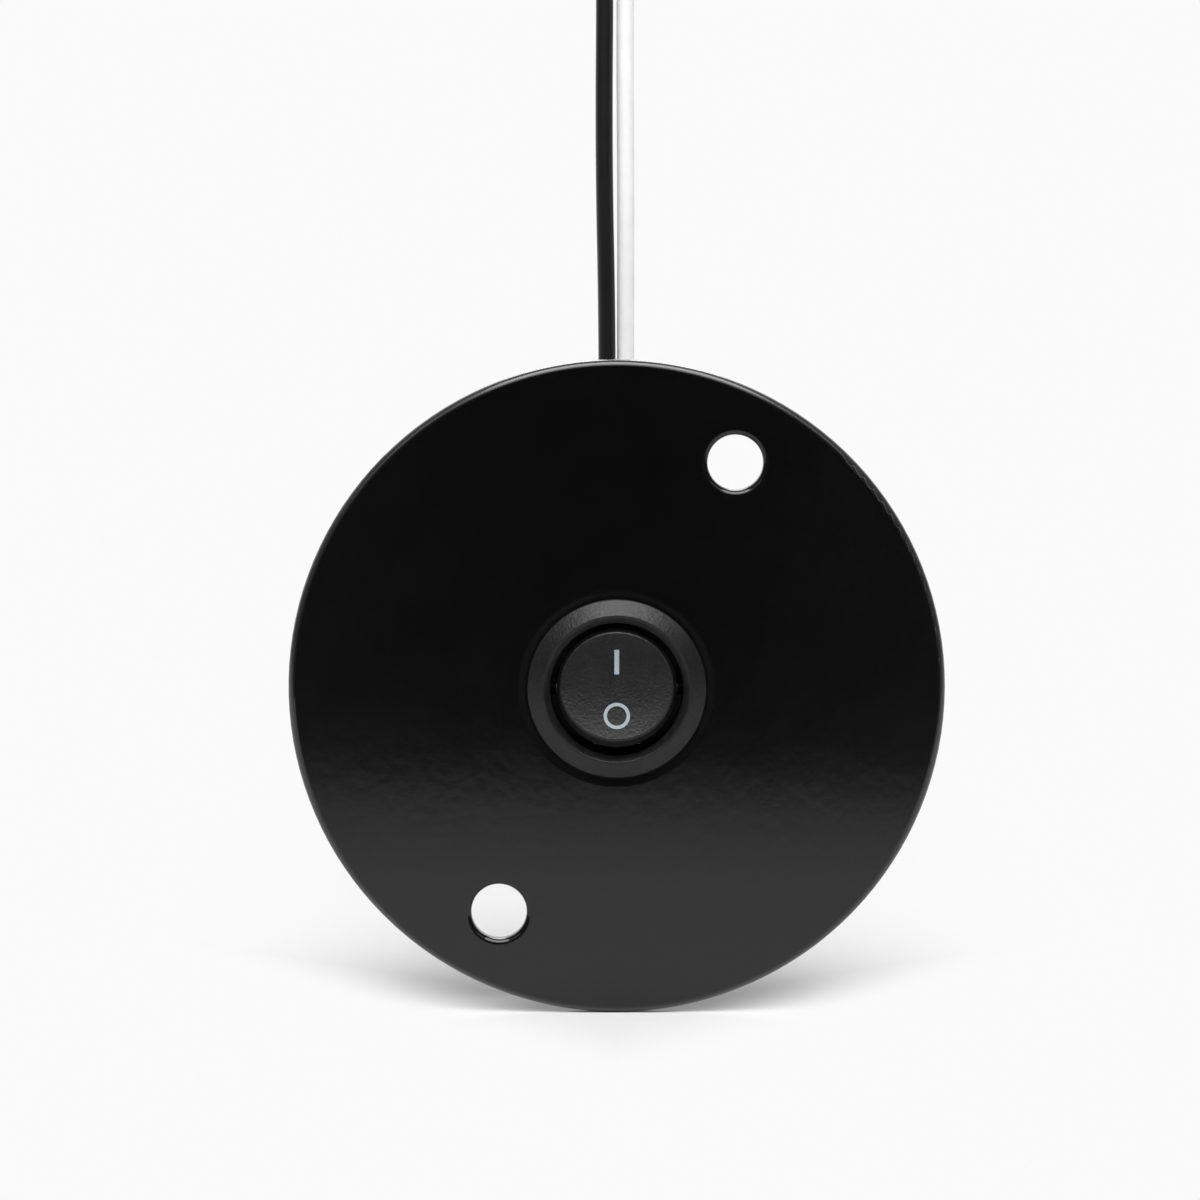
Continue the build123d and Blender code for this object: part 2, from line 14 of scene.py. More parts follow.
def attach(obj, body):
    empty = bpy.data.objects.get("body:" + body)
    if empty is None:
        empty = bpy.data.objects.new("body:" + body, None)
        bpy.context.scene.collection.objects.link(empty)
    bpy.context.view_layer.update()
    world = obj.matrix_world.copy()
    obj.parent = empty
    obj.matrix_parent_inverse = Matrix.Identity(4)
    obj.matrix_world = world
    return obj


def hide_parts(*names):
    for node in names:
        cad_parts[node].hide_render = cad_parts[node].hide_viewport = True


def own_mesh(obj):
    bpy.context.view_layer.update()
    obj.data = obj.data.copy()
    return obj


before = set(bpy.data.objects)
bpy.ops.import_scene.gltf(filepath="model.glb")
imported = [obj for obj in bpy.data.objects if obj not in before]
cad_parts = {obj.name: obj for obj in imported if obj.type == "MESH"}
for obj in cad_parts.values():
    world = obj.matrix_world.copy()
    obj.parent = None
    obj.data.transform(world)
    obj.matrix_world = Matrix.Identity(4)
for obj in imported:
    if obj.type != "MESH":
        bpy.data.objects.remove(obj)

log = logging.getLogger("rocker_switch")

MM = 0.001
MICRON = 1e-6
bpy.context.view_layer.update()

Colour = tuple[float, float, float]
Point = tuple[float, float, float]


class Body(Enum):
    """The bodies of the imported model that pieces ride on."""

    BASE = "base"
    ROCKER = "rocker"


class RayKind(Enum):
    """The kinds of ray that see the studio as it is in a photograph."""

    CAMERA = "Is Camera Ray"
    GLOSSY = "Is Glossy Ray"
    TRANSMISSION = "Is Transmission Ray"


class ColourMix(IntEnum):
    """The places of a Mix node's colour sockets, whose names its other sockets share."""

    FACTOR = 0
    FIRST = 6
    SECOND = 7
    RESULT = 2


class RandomNumber(IntEnum):
    """The places of a Random Value node's number sockets, whose names its other sockets share."""

    LEAST = 2
    MOST = 3
    RESULT = 1


class Wire:
    """A node's output, so that node maths reads as a Python expression."""

    def __init__(self, graph: "NodeGraph", socket: bpy.types.NodeSocket) -> None:
        """Wraps one output.

        Args:
            graph: The graph that gets a Math node for each operator.
            socket: The output that the wire stands for.
        """
        self.graph = graph
        self.socket = socket

    def maths(self, operation: str, *values: "SocketValue") -> "Wire":
        """Adds one Math node.

        Args:
            operation: The Math node's operation.
            values: What goes into its sockets, in order.

        Returns:
            The node's result.
        """
        return self.graph.node("ShaderNodeMath", {"operation": operation}, dict(enumerate(values)))

    def __add__(self, other: "SocketValue") -> "Wire":
        """The sum."""
        return self.maths("ADD", self, other)

    __radd__ = __add__

    def __mul__(self, other: "SocketValue") -> "Wire":
        """The product."""
        return self.maths("MULTIPLY", self, other)

    __rmul__ = __mul__

    def __sub__(self, other: "SocketValue") -> "Wire":
        """The difference."""
        return self.maths("SUBTRACT", self, other)

    def __rsub__(self, other: "SocketValue") -> "Wire":
        """The difference, with the wire second."""
        return self.maths("SUBTRACT", other, self)

    def __truediv__(self, other: "SocketValue") -> "Wire":
        """The quotient."""
        return self.maths("DIVIDE", self, other)

    def __rtruediv__(self, other: "SocketValue") -> "Wire":
        """The quotient, with the wire second."""
        return self.maths("DIVIDE", other, self)

    def larger(self, other: "SocketValue") -> "Wire":
        """The larger of the two."""
        return self.maths("MAXIMUM", self, other)

    def absolute(self) -> "Wire":
        """The value without its sign."""
        return self.maths("ABSOLUTE", self)

    def centred(self) -> "Wire":
        """A pattern from 0 to 1, moved to lie about 0."""
        return self - 0.5

    def ramp(self, low: float, high: float, smooth: bool = True) -> "Wire":
        """Rises from 0 to 1 between two values.

        Args:
            low: Where the result is 0.
            high: Where the result is 1.
            smooth: Whether the ends are eased.

        Returns:
            The risen value, held between 0 and 1.
        """
        return self.graph.node(
            "ShaderNodeMapRange",
            {"interpolation_type": "SMOOTHSTEP" if smooth else "LINEAR"},
            {"Value": self, "From Min": low, "From Max": high},
        )


SocketValue = Union[Wire, float, int, bool, Sequence[float], bpy.types.ID]
Sockets = dict[Union[str, int], SocketValue]


class NodeGraph:
    """A node tree that is built by calls."""

    def __init__(self, tree: bpy.types.NodeTree) -> None:
        """Empties the tree.

        Args:
            tree: The tree to build in.
        """
        self.tree = tree
        self.tree.nodes.clear()

    def node(
        self,
        kind: str,
        settings: Optional[dict[str, object]] = None,
        sockets: Optional[Sockets] = None,
        output: Union[str, int] = 0,
    ) -> Wire:
        """Adds a node, sets it up and joins it.

        Args:
            kind: The node's type.
            settings: The node's own properties, which are set first.
            sockets: Values or wires for its inputs, by name or number.
            output: The output that is wanted.

        Returns:
            That output, as a wire, or the first input of a node that has no outputs.
        """
        made = self.tree.nodes.new(kind)
        for name, value in (settings or {}).items():
            setattr(made, name, value)
        for key, value in (sockets or {}).items():
            if isinstance(value, Wire):
                self.tree.links.new(value.socket, made.inputs[key])
            else:
                made.inputs[key].default_value = value
        ends = made.outputs if len(made.outputs) else made.inputs
        return Wire(self, ends[output])

    def vector(self, operation: str, sockets: Sockets, output: str = "Vector") -> Wire:
        """Adds one Vector Math node.

        Args:
            operation: The node's operation.
            sockets: Values or wires for its inputs, by name or number.
            output: The output that is wanted.

        Returns:
            That output, as a wire.
        """
        return self.node("ShaderNodeVectorMath", {"operation": operation}, sockets, output)

    def part(self, vector: Wire, axis: str) -> Wire:
        """How far a vector goes along one axis, X, Y or Z."""
        return self.node("ShaderNodeSeparateXYZ", sockets={0: vector}, output=axis)

    def ray(self, kind: RayKind) -> Wire:
        """1 for rays of that kind, and else 0."""
        return self.node("ShaderNodeLightPath", output=kind.value)


class ShaderGraph(NodeGraph):
    """A material's node tree, with the few patterns that the finishes share."""

    def __init__(self, name: str) -> None:
        """Makes the material.

        Args:
            name: The material's name.
        """
        self.material = bpy.data.materials.new(name)
        self.material.use_nodes = True
        super().__init__(self.material.node_tree)
        self.place = self.node("ShaderNodeTexCoord", output="Object")

    def stretched(self, scale: Point) -> Wire:
        """The object's coordinates, scaled along each axis.

        Args:
            scale: The factors along X, Y and Z.

        Returns:
            The scaled coordinates.
        """
        return self.node("ShaderNodeMapping", sockets={"Vector": self.place, "Scale": scale})

    def distance(self, scale: Point = (1.0, 0.0, 1.0)) -> Wire:
        """The distance from the origin, with each axis scaled.

        Args:
            scale: The factors along X, Y and Z. The default gives the distance from the switch's axis.

        Returns:
            The distance in metres.
        """
        return self.vector("LENGTH", {0: self.stretched(scale)}, "Value")

    def beyond(self, low_mm: float, high_mm: float) -> Wire:
        """Rises from 0 to 1 between two distances from the switch's axis, in millimetres."""
        return self.distance().ramp(low_mm * MM, high_mm * MM)

    def noise(self, size_mm: float, detail: float = 2.0, along: Optional[Wire] = None) -> Wire:
        """Soft noise.

        Args:
            size_mm: The size of one blob, in millimetres.
            detail: How many finer layers it has.
            along: The coordinates that it reads, the object's own if none are given.

        Returns:
            A value from 0 to 1, mostly near a half.
        """
        return self.node(
            "ShaderNodeTexNoise",
            sockets={"Vector": along or self.place, "Scale": 1 / (size_mm * MM), "Detail": detail},
        )

    def cells(self, size_mm: float) -> Wire:
        """Rounded cells, as of a spark-eroded mould.

        Args:
            size_mm: The distance between two cells, in millimetres.

        Returns:
            The distance to the nearest cell's middle, from 0 up.
        """
        return self.node(
            "ShaderNodeTexVoronoi",
            {"feature": "SMOOTH_F1"},
            {"Vector": self.place, "Scale": 1 / (size_mm * MM), "Smoothness": 0.6},
        )

    def mix(self, factor: SocketValue, first: SocketValue, second: SocketValue) -> Wire:
        """Mixes two colours.

        Args:
            factor: The share of the second colour.
            first: A colour of three numbers, or a wire.
            second: A colour of three numbers, or a wire.

        Returns:
            The mixed colour.
        """
        ends = [colour if isinstance(colour, Wire) else (*colour, 1.0) for colour in (first, second)]
        sockets = {ColourMix.FACTOR: factor, ColourMix.FIRST: ends[0], ColourMix.SECOND: ends[1]}
        return self.node("ShaderNodeMix", {"data_type": "RGBA"}, sockets, ColourMix.RESULT)

    def relief(self, height: Wire, depth_um: float, under: Optional[Wire] = None) -> Wire:
        """A surface relief.

        Args:
            height: The height, from 0 to 1.
            depth_um: What a height of 1 stands for, in micrometres.
            under: A relief that this one lies on.

        Returns:
            The normal for the shader.
        """
        sockets: Sockets = {"Height": height, "Distance": depth_um * MICRON, "Strength": 1.0}
        if under is not None:
            sockets["Normal"] = under
        return self.node("ShaderNodeBump", sockets=sockets)

    def surface(self, sockets: Sockets) -> bpy.types.Material:
        """Ends the material in its shader.

        Args:
            sockets: The shader's values and wires.

        Returns:
            The finished material.
        """
        shader = self.node("ShaderNodeBsdfPrincipled", sockets=sockets)
        return self.ends_in(shader)

    def ends_in(self, shader: Wire) -> bpy.types.Material:
        """Puts a shader on the material's output and gives the material."""
        self.node("ShaderNodeOutputMaterial", sockets={"Surface": shader})
        return self.material


@dataclass(frozen=True)
class Finish:
    """What every finish has. A tint goes over the range in which most of the soft noise lies."""

    name: str
    colour: Colour
    roughness: float
    refraction: float = 1.5
    tint_from: float = 0.3
    tint_to: float = 0.7

    def look(self, graph: ShaderGraph) -> Sockets:
        """The shader's values. Each kind of finish gives its own.

        Args:
            graph: The graph that holds the finish's pattern.

        Returns:
            Values and wires by the shader's socket names.
        """
        raise NotImplementedError

    def material(self) -> bpy.types.Material:
        """The finish as a material, made once.

        Returns:
            The material, the known one if there is one.
        """
        known = bpy.data.materials.get(self.name)
        if known is not None:
            return known
        graph = ShaderGraph(self.name)
        return graph.surface({**self.look(graph), "IOR": self.refraction})

    def tinted(self, graph: ShaderGraph, pattern: Wire, spread: float) -> Wire:
        """The finish's colour, varied a little.

        Args:
            graph: The finish's graph.
            pattern: The variation, from 0 to 1.
            spread: The share by which the colour goes down and up.

        Returns:
            The varied colour.
        """
        darker = tuple(part * (1 - spread) for part in self.colour)
        lighter = tuple(min(1.0, part * (1 + spread)) for part in self.colour)
        return graph.mix(pattern.ramp(self.tint_from, self.tint_to), darker, lighter)


@dataclass(frozen=True)
class PowderCoat(Finish):
    """Gloss powder coat with the soft waves of its flow, smooth round the plate's edge, where a paler
    colour is a painted highlight on the rounded rim.
    """

    wave_mm: float = 2.4
    wave_depth_um: float = 9.0
    pimple_mm: float = 1.1
    pimple_depth_um: float = 5.0
    haze_mm: float = 7.0
    haze_tint: float = 0.12
    haze_blur: float = 0.05
    dimple_from_mm: float = 12.2
    dimple_to_mm: float = 13.5
    dimple_depth_um: float = 55.0
    flat_to_mm: float = 42.6
    edge_from_mm: float = 43.5
    edge_to_mm: float = 44.1
    edge_highlight_colour: Colour = (0.0195, 0.0195, 0.02)
    edge_coat: float = 0.4
    edge_blur: float = 0.10
    coat_roughness: float = 0.18

    def look(self, graph: ShaderGraph) -> Sockets:
        """Waves, pimples and haze, the dimple round the bezel, and the plain edge, whose paler colour is
        a painted highlight.

        Args:
            graph: The graph that holds the coat's pattern.

        Returns:
            Values and wires by the shader's socket names.
        """
        rise = graph.beyond(self.dimple_from_mm, self.dimple_to_mm)
        flat = 1.0 - graph.beyond(self.flat_to_mm, self.edge_from_mm)
        edge = graph.beyond(self.edge_from_mm, self.edge_to_mm)
        wave = graph.noise(self.wave_mm, detail=1.0).centred() * flat
        pimple = graph.noise(self.pimple_mm).centred() * flat
        haze = graph.noise(self.haze_mm, detail=3.0)
        dimple_relief = graph.relief(rise, self.dimple_depth_um)
        wave_relief = graph.relief(wave, self.wave_depth_um, dimple_relief)
        return {
            # painted highlight: the rounded rim gets a paler colour than the face, standing in for the
            # light that it catches
            "Base Color": graph.mix(edge, self.tinted(graph, haze, self.haze_tint), self.edge_highlight_colour),
            "Roughness": self.roughness + haze.centred() * self.haze_blur + edge * self.edge_blur,
            "Coat Weight": edge * self.edge_coat,
            "Coat Roughness": self.coat_roughness,
            "Normal": graph.relief(pimple, self.pimple_depth_um, wave_relief),
        }


@dataclass(frozen=True)
class MouldedPlastic(Finish):
    """Moulded plastic with the fine grain and the pits of its mould."""

    grain_mm: float = 0.16
    grain_depth_um: float = 6.0
    grain_blur: float = 0.2
    pit_ratio: float = 1.7
    pit_share: float = 0.3
    mottle_mm: float = 2.5
    mottle_share: float = 0.4
    mottle_tint: float = 0.18
    mottle_blur: float = 0.12

    def look(self, graph: ShaderGraph) -> Sockets:
        """Grain, pits and mottle.

        Args:
            graph: The graph that holds the mould's pattern.

        Returns:
            Values and wires by the shader's socket names.
        """
        grain = graph.noise(self.grain_mm, detail=3.0)
        pits = graph.cells(self.grain_mm * self.pit_ratio)
        mottle = graph.noise(self.mottle_mm)
        tint = grain * (1 - self.mottle_share) + mottle * self.mottle_share
        blur = mottle.centred() * self.mottle_blur + grain.centred() * self.grain_blur
        height = grain * (1 - self.pit_share) + pits * self.pit_share
        return {
            "Base Color": self.tinted(graph, tint, self.mottle_tint),
            "Roughness": self.roughness + blur,
            "Normal": graph.relief(height, self.grain_depth_um),
        }


@dataclass(frozen=True)
class ButtonPlastic(MouldedPlastic):
    """Moulded plastic whose trunnions, beyond the grained barrel, are painted near-black and bare of
    reflection: painted shade for the deep gap round them.
    """

    face_ends_mm: float = 8.12
    sides_begin_mm: float = 8.25
    painted_shade_colour: Colour = (0.002, 0.002, 0.002)

    def look(self, graph: ShaderGraph) -> Sockets:
        """The grained barrel, with painted shade on the sides beyond it: a near-black colour, and
        Metallic so that they reflect nothing.

        Args:
            graph: The graph that holds the mould's pattern.

        Returns:
            Values and wires by the shader's socket names.
        """
        sockets = super().look(graph)
        # painted shade: beyond the barrel the trunnions get a near-black colour and Metallic, so they
        # show as the dark of the gap
        side = graph.beyond(self.face_ends_mm, self.sides_begin_mm)
        sockets["Base Color"] = graph.mix(side, sockets["Base Color"], self.painted_shade_colour)
        sockets["Metallic"] = side
        return sockets


@dataclass(frozen=True)
class ExtrudedVinyl(Finish):
    """Soft vinyl with faint lines along the way in which it was drawn."""

    lines_along: Point = (1.0, 1.0, 0.06)
    line_mm: float = 0.3
    line_depth_um: float = 3.0
    line_blur: float = 0.14
    bloom_mm: float = 4.0
    bloom_tint: float = 0.03
    bloom_blur: float = 0.1

    def look(self, graph: ShaderGraph) -> Sockets:
        """Drawn lines and a faint bloom.

        Args:
            graph: The graph that holds the vinyl's pattern.

        Returns:
            Values and wires by the shader's socket names.
        """
        lines = graph.noise(self.line_mm, along=graph.stretched(self.lines_along))
        bloom = graph.noise(self.bloom_mm)
        blur = lines.centred() * self.line_blur + bloom.centred() * self.bloom_blur
        return {
            "Base Color": self.tinted(graph, bloom, self.bloom_tint),
            "Roughness": self.roughness + blur,
            "Normal": graph.relief(lines, self.line_depth_um),
        }


@dataclass(frozen=True)
class RolledMetal(Finish):
    """Strip or wire metal with rolling lines and a little tarnish."""

    tarnish: Colour = (0.35, 0.3, 0.22)
    tarnish_share: float = 0.25
    tarnish_mm: float = 1.8
    tarnish_from: float = 0.45
    tarnish_to: float = 0.8
    tarnish_blur: float = 0.3
    lines_along: Point = (1.0, 0.05, 1.0)
    line_mm: float = 0.12
    line_depth_um: float = 1.2
    line_blur: float = 0.16

    def look(self, graph: ShaderGraph) -> Sockets:
        """Rolling lines and stains of tarnish.

        Args:
            graph: The graph that holds the metal's pattern.

        Returns:
            Values and wires by the shader's socket names.
        """
        lines = graph.noise(self.line_mm, detail=3.0, along=graph.stretched(self.lines_along))
        stains = graph.noise(self.tarnish_mm, detail=4.0).ramp(self.tarnish_from, self.tarnish_to)
        stain = stains * self.tarnish_share
        return {
            "Base Color": graph.mix(stain, self.colour, self.tarnish),
            "Metallic": 1.0,
            "Roughness": self.roughness + lines.centred() * self.line_blur + stain * self.tarnish_blur,
            "Normal": graph.relief(lines, self.line_depth_um),
        }


@dataclass(frozen=True)
class PrintedInk(Finish):
    """Pad-printed ink, a little thin in places where it lies on the grain."""

    grain_mm: float = 0.2
    grain_depth_um: float = 3.0
    grain_blur: float = 0.1
    thin_mm: float = 0.5
    thin_from: float = 0.5
    thin_to: float = 0.85
    thin_share: float = 0.14
    thin_shade: float = 0.55

    def look(self, graph: ShaderGraph) -> Sockets:
        """Ink that thins in patches over the grain.

        Args:
            graph: The graph that holds the ink's pattern.

        Returns:
            Values and wires by the shader's socket names.
        """
        grain = graph.noise(self.grain_mm)
        thin = graph.noise(self.thin_mm, detail=3.0).ramp(self.thin_from, self.thin_to)
        shaded = tuple(part * self.thin_shade for part in self.colour)
        return {
            "Base Color": graph.mix(thin * self.thin_share, self.colour, shaded),
            "Roughness": self.roughness + grain.centred() * self.grain_blur,
            "Normal": graph.relief(grain, self.grain_depth_um),
        }


PLATE_COAT = PowderCoat("gloss_black_powder_coat", (0.0013, 0.0013, 0.0015), 0.13)
BEZEL_NYLON = MouldedPlastic(
    "satin_black_nylon", (0.0045, 0.0045, 0.0047), 0.44, 1.45, grain_mm=0.36, grain_depth_um=70.0
)
ROCKER_NYLON = ButtonPlastic(
    "matte_black_nylon", (0.005, 0.005, 0.0053), 0.40, 1.45, grain_mm=0.34, grain_depth_um=75.0
)
ACETAL = MouldedPlastic("white_acetal", (0.78, 0.78, 0.75), 0.38, grain_mm=0.3, grain_depth_um=1.5)
SPRING_STEEL = RolledMetal("drawn_spring_steel", (0.55, 0.55, 0.56), 0.26, tarnish=(0.3, 0.29, 0.28))
PLATED_BRASS = RolledMetal("silver_plated_brass", (0.70, 0.68, 0.62), 0.3)
SILVER_ALLOY = RolledMetal("silver_contact_alloy", (0.80, 0.79, 0.77), 0.34, tarnish=(0.45, 0.43, 0.4))
BARE_BRASS = RolledMetal("bare_brass_strip", (0.72, 0.53, 0.24), 0.32, tarnish=(0.42, 0.26, 0.1))
SLEEVE_VINYL = ExtrudedVinyl(
    "black_sleeve_vinyl", (0.014, 0.014, 0.0145), 0.42, lines_along=(1.0, 0.06, 1.0)
)
BLACK_JACKET = ExtrudedVinyl("black_wire_insulation", (0.005, 0.005, 0.0055), 0.34)
WHITE_JACKET = ExtrudedVinyl("white_wire_insulation", (0.82, 0.82, 0.825), 0.36)
TINNED_COPPER = RolledMetal(
    "tinned_copper_strand", (0.72, 0.71, 0.69), 0.3, lines_along=(1.0, 1.0, 0.08)
)
MARK_INK = PrintedInk("pale_grey_marking_ink", (0.28, 0.325, 0.355), 0.5)


def dress(node: str, finish: Finish) -> None:
    """Gives a CAD node its finish.

    Args:
        node: The node's name.
        finish: What its surface is.
    """
    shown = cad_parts[node]
    if not shown.material_slots:
        shown.data.materials.append(None)
    for place in shown.material_slots:
        place.material = finish.material()
    log.info("%s is dressed in %s", node, finish.name)


def settle(piece: bpy.types.Object) -> bpy.types.Object:
    """Turns what a piece's modifiers make into its plain mesh.

    Args:
        piece: The piece, whose modifiers are then gone.

    Returns:
        The same piece.
    """
    depsgraph = bpy.context.evaluated_depsgraph_get()
    mesh = bpy.data.meshes.new_from_object(piece.evaluated_get(depsgraph))
    piece.modifiers.clear()
    piece.data = mesh
    mesh.name = piece.name
    return piece


def shown_object(name: str, data: bpy.types.ID) -> bpy.types.Object:
    """Puts a mesh or curve into the scene, at the origin.

    Args:
        name: The object's name.
        data: Its mesh or curve.

    Returns:
        The object.
    """
    made = bpy.data.objects.new(name, data)
    bpy.context.scene.collection.objects.link(made)
    return made


def blank_piece(name: str) -> bpy.types.Object:
    """An object whose mesh is empty, for a tree to fill."""
    return shown_object(name, bpy.data.meshes.new(name))


def steps_between(first: float, last: float, steps: int) -> list[float]:
    """Values in even steps, with both ends.

    Args:
        first: The first value.
        last: The last value.
        steps: How many steps lie between them.

    Returns:
        The values, one more than the steps.
    """
    return [first + (last - first) * i / steps for i in range(steps + 1)]


class GeometryGraph(NodeGraph):
    """A Geometry Nodes tree with named inputs, which is applied to pieces as a plain mesh."""

    def __init__(self, name: str, sizes: dict[str, object]) -> None:
        """Makes the tree and its inputs.

        Args:
            name: The tree's name.
            sizes: The inputs, each with the value it starts at, or None for an object.
        """
        super().__init__(bpy.data.node_groups.new(name, "GeometryNodeTree"))
        face = self.tree.interface
        face.new_socket("Geometry", in_out="OUTPUT", socket_type="NodeSocketGeometry")
        face.new_socket("Geometry", in_out="INPUT", socket_type="NodeSocketGeometry")
        self.inputs = {label: self._input(label, value) for label, value in sizes.items()}
        self.entry = self.tree.nodes.new("NodeGroupInput")

    def _input(self, name: str, value: object) -> str:
        """Adds one input.

        Args:
            name: The input's name.
            value: Its first value, or None for an object.

        Returns:
            The input's identifier.
        """
        kinds = {int: "NodeSocketInt", float: "NodeSocketFloat", tuple: "NodeSocketVector"}
        kind = "NodeSocketObject" if value is None else kinds[type(value)]
        made = self.tree.interface.new_socket(name, in_out="INPUT", socket_type=kind)
        if value is not None:
            made.default_value = value
        return made.identifier

    def given(self, name: str) -> Wire:
        """The tree's input of that name."""
        return Wire(self, self.entry.outputs[name])

    def joined(self, parts: Sequence[Wire]) -> Wire:
        """The parts as one geometry.

        Args:
            parts: The geometries, in order.

        Returns:
            What they make together.
        """
        join = self.tree.nodes.new("GeometryNodeJoinGeometry")
        for part in parts:
            self.tree.links.new(part.socket, join.inputs[0])
        return Wire(self, join.outputs[0])

    def helix(self, radius: Wire, length: Wire, turns: Wire, steps: int, left: bool = False) -> Wire:
        """A helix up the Z axis.

        Args:
            radius: Its radius.
            length: Its height.
            turns: How many turns it makes.
            steps: How many steps each turn has.
            left: Whether it winds the other way round.

        Returns:
            The helix as a curve.
        """
        return self.node(
            "GeometryNodeCurveSpiral",
            sockets={
                "Resolution": steps,
                "Rotations": turns,
                "Start Radius": radius,
                "End Radius": radius,
                "Height": length,
                "Reverse": left,
            },
        )

    def tube(self, curve: Wire, radius: Wire, sides: int) -> Wire:
        """A closed round tube along a curve.

        Args:
            curve: Its middle line.
            radius: Its radius.
            sides: How many sides its section has.

        Returns:
            The tube as a mesh.
        """
        sizes = {"Resolution": sides, "Radius": radius}
        section = self.node("GeometryNodeCurvePrimitiveCircle", sockets=sizes)
        return self.node(
            "GeometryNodeCurveToMesh",
            sockets={"Curve": curve, "Profile Curve": section, "Fill Caps": True},
        )

    def ends_in(self, geometry: Wire, finish: Finish) -> None:
        """Ends the tree in plain geometry with its finish.

        Args:
            geometry: What the tree has made.
            finish: Its finish.
        """
        plain = self.node("GeometryNodeRealizeInstances", sockets={"Geometry": geometry})
        sockets = {"Geometry": plain, "Material": finish.material()}
        dressed = self.node("GeometryNodeSetMaterial", sockets=sockets)
        self.node("NodeGroupOutput", sockets={0: dressed})

    def shape(self, piece: bpy.types.Object, sizes: dict[str, object]) -> bpy.types.Object:
        """Runs the tree on a piece.

        Args:
            piece: The piece, whose mesh the tree starts from.
            sizes: The values of the tree's inputs.

        Returns:
            The piece, with the result as its plain mesh.
        """
        modifier = piece.modifiers.new(self.tree.name, "NODES")
        modifier.node_group = self.tree
        for name, value in sizes.items():
            modifier[self.inputs[name]] = value
        return settle(piece)


class StrandBundle(GeometryGraph):
    """Twisted bare strands in two rings round one core. A ring's radius is in strand radii."""

    INNER_RING = 2.0
    OUTER_RING = 3.9
    STEPS = 36
    SIDES = 10
    UNEVENNESS = 0.05

    def __init__(self) -> None:
        """Builds the tree: helices in rings, each with a round section."""
        super().__init__(
            "twisted_strands",
            {
                "Strand Radius": 0.1 * MM,
                "Length": 10.0 * MM,
                "Turns": 1.0,
                "Inner Count": 6,
                "Outer Count": 12,
                "Seed": 7,
            },
        )
        radius, length, turns = self.given("Strand Radius"), self.given("Length"), self.given("Turns")
        core = self.node(
            "GeometryNodeCurvePrimitiveLine",
            {"mode": "POINTS"},
            {"End": self.node("ShaderNodeCombineXYZ", sockets={"Z": length})},
        )
        inner = self._ring(radius * self.INNER_RING, self.given("Inner Count"), length, turns)
        outer = self._ring(radius * self.OUTER_RING, self.given("Outer Count"), length, turns)
        strands = self.joined((core, inner, outer))
        self.ends_in(self.tube(strands, radius, self.SIDES), TINNED_COPPER)

    def _ring(self, radius: Wire, count: Wire, length: Wire, turns: Wire) -> Wire:
        """One ring of helical strands.

        Args:
            radius: The ring's radius, to its strands' middles.
            count: How many strands it has.
            length: The bundle's length.
            turns: How many turns a strand makes over that length.

        Returns:
            The ring's strands, as instances.
        """
        helix = self.helix(radius, length, turns, self.STEPS)
        places = self.node("GeometryNodePoints", sockets={"Count": count})
        index = self.node("GeometryNodeInputIndex")
        shift = self.node(
            "FunctionNodeRandomValue",
            {"data_type": "FLOAT"},
            {
                RandomNumber.LEAST: -self.UNEVENNESS,
                RandomNumber.MOST: self.UNEVENNESS,
                "ID": index,
                "Seed": self.given("Seed"),
            },
            RandomNumber.RESULT,
        )
        turn = self.node("ShaderNodeCombineXYZ", sockets={"Z": (index + shift) * math.tau / count})
        return self.node(
            "GeometryNodeInstanceOnPoints",
            sockets={"Points": places, "Instance": helix, "Rotation": turn},
        )


class SpringCoil(GeometryGraph):
    """A round wire wound into an open coil."""

    STEPS = 40
    SIDES = 12

    def __init__(self) -> None:
        """Builds the tree: one helix with a round section."""
        super().__init__(
            "spring_coil",
            {"Wire Radius": 0.2 * MM, "Coil Radius": 1.0 * MM, "Height": 4.0 * MM, "Turns": 4.0},
        )
        radius, height, turns = self.given("Coil Radius"), self.given("Height"), self.given("Turns")
        helix = self.helix(radius, height, turns, self.STEPS, left=True)
        self.ends_in(self.tube(helix, self.given("Wire Radius"), self.SIDES), SPRING_STEEL)


class PrintedMark(GeometryGraph):
    """A flat mark that is pressed onto the surface under it, as a printing pad does."""

    REACH = 50.0 * MM
    WELD = MICRON

    def __init__(self, finish: Finish) -> None:
        """Builds the tree: each point is cast onto the carrier, and the film gets its thickness.

        Args:
            finish: The ink.
        """
        super().__init__(
            "pad_print",
            {"Carrier": None, "Direction": (0.0, 1.0, 0.0), "Lift": 10 * MICRON, "Film": 20 * MICRON},
        )
        carrier = self.node(
            "GeometryNodeObjectInfo",
            {"transform_space": "RELATIVE"},
            {"Object": self.given("Carrier")},
            output="Geometry",
        )
        direction = self.given("Direction")
        outward = self.vector("SCALE", {0: direction, "Scale": -1.0})
        lift = self.vector("SCALE", {0: outward, "Scale": self.given("Lift")})
        struck = self.node(
            "GeometryNodeRaycast",
            sockets={
                "Target Geometry": carrier,
                "Source Position": self.node("GeometryNodeInputPosition"),
                "Ray Direction": direction,
                "Ray Length": self.REACH,
            },
            output="Hit Position",
        )
        pressed = self.node(
            "GeometryNodeSetPosition",
            sockets={
                "Geometry": self.given("Geometry"),
                "Position": self.vector("ADD", {0: struck, 1: lift}),
            },
        )
        film = self.node(
            "GeometryNodeExtrudeMesh",
            {"mode": "FACES"},
            {
                "Mesh": pressed,
                "Offset": outward,
                "Offset Scale": self.given("Film"),
                "Individual": False,
            },
        )
        underside = self.node("GeometryNodeFlipFaces", sockets={"Mesh": pressed})
        closed = {"Geometry": self.joined((film, underside)), "Distance": self.WELD}
        self.ends_in(self.node("GeometryNodeMergeByDistance", sockets=closed), finish)


